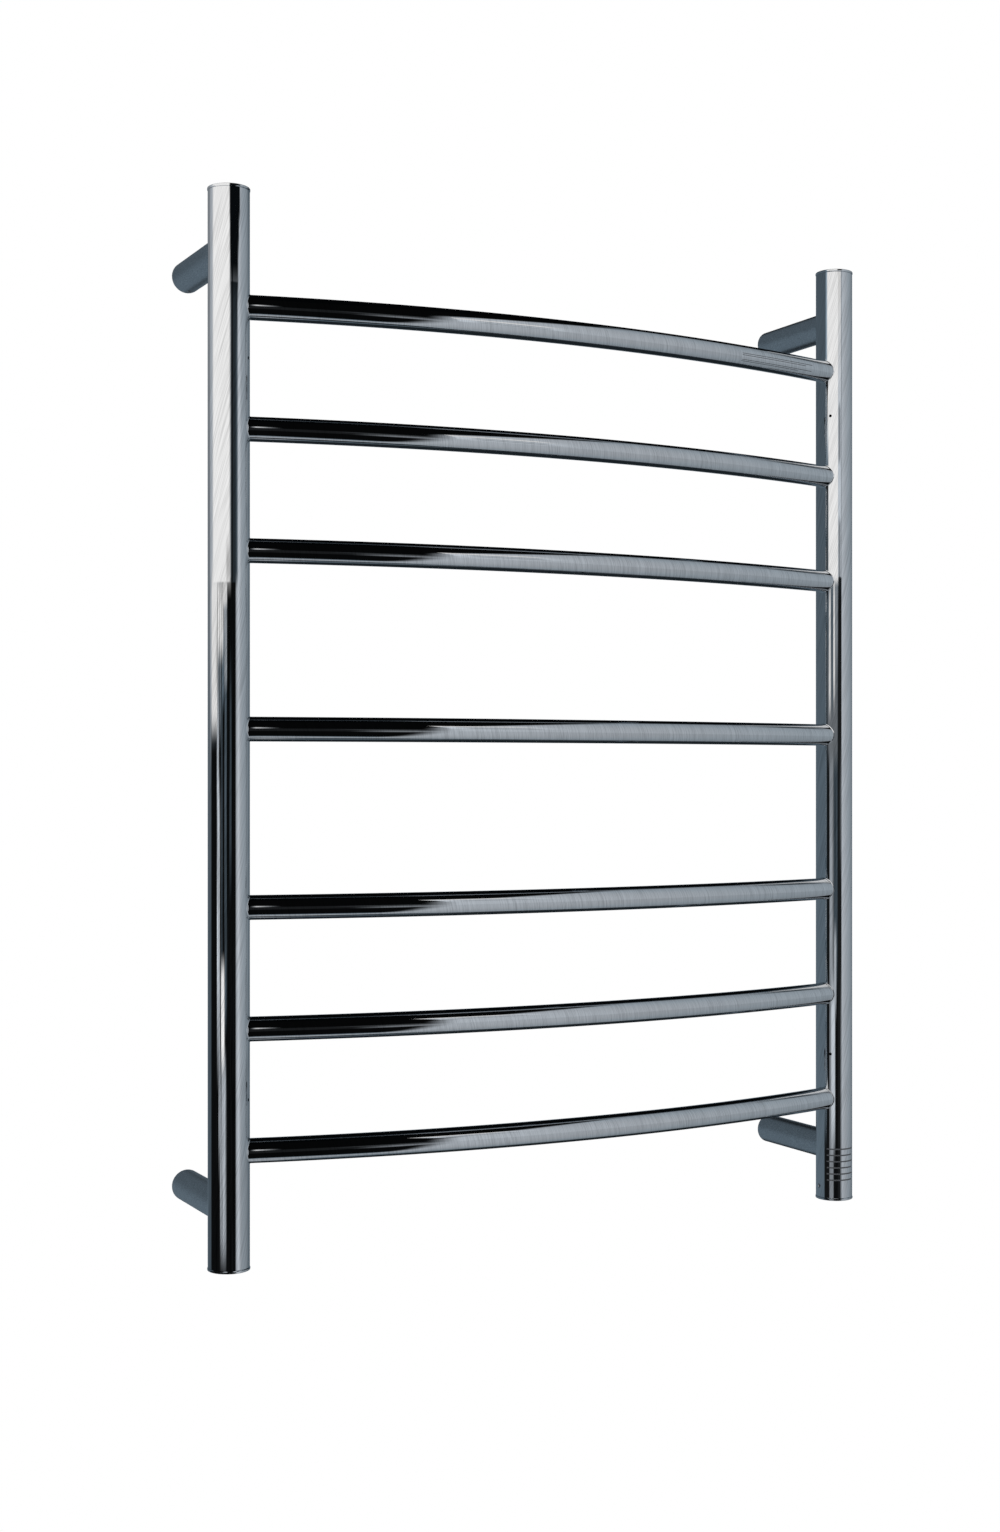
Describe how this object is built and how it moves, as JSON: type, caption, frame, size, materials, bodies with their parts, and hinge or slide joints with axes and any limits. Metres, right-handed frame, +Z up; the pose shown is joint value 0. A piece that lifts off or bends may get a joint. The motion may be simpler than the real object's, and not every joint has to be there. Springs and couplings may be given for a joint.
{
  "type": "towel warmer rack",
  "caption": "Wall-mounted ladder towel warmer in polished stainless steel: two round uprights, bowed round bars, stand-off posts and a heating cable inside the tubes.",
  "frame": {"origin": "centre of the four wall fixings, on the wall plane", "axes": "+X to the right along the wall as seen from the room, +Y into the wall, +Z up along the uprights"},
  "size_m": [0.6008, 0.15, 0.825],
  "materials": {
    "polished_tube": "polished stainless steel tube with faint spiral polishing lines",
    "polished_bar": "polished stainless steel tube with faint polishing lines across it",
    "polished_cap": "polished stainless steel",
    "satin_post": "satin stainless steel",
    "turned_boss": "turned stainless steel",
    "screw_steel": "plain stainless steel",
    "seal_rubber": "matt black rubber",
    "seal_silicone": "matt silicone",
    "cable_jacket": "matt silicone-jacketed heating cable",
    "sleeve_plastic": "shrunk sleeve",
    "cutout_case": "moulded case",
    "tinned_terminal": "tinned",
    "brass_screw": "plain brass"
  },
  "bodies": {
    "root": {"left_upright": "polished_tube", "right_upright": "polished_tube", "bar_1": "polished_bar", "bar_2": "polished_bar", "bar_3": "polished_bar", "bar_4": "polished_bar", "bar_5": "polished_bar", "bar_6": "polished_bar", "bar_7": "polished_bar", "end_cap_top_left": "polished_cap", "cap_seal_top_left": "seal_rubber", "end_cap_top_right": "polished_cap", "cap_seal_top_right": "seal_rubber", "end_cap_bottom_left": "polished_cap", "cap_seal_bottom_left": "seal_rubber", "end_cap_bottom_right": "polished_cap", "cap_seal_bottom_right": "seal_rubber", "cap_lock_screw_left": "screw_steel", "cap_lock_screw_right": "screw_steel", "post_top_left": "satin_post", "wall_boss_top_left": "turned_boss", "post_grub_screw_top_left": "screw_steel", "post_top_right": "satin_post", "wall_boss_top_right": "turned_boss", "post_grub_screw_top_right": "screw_steel", "post_bottom_left": "satin_post", "wall_boss_bottom_left": "turned_boss", "post_grub_screw_bottom_left": "screw_steel", "post_bottom_right": "satin_post", "wall_boss_bottom_right": "turned_boss", "post_grub_screw_bottom_right": "screw_steel", "heating_cable": "cable_jacket", "splice_sleeve": "sleeve_plastic", "thermal_cutout": "cutout_case", "cable_end_seal": "seal_silicone", "earth_terminal": "tinned_terminal", "earth_screw": "brass_screw", "lead_grommet": "seal_rubber"}
  },
  "joints": []
}
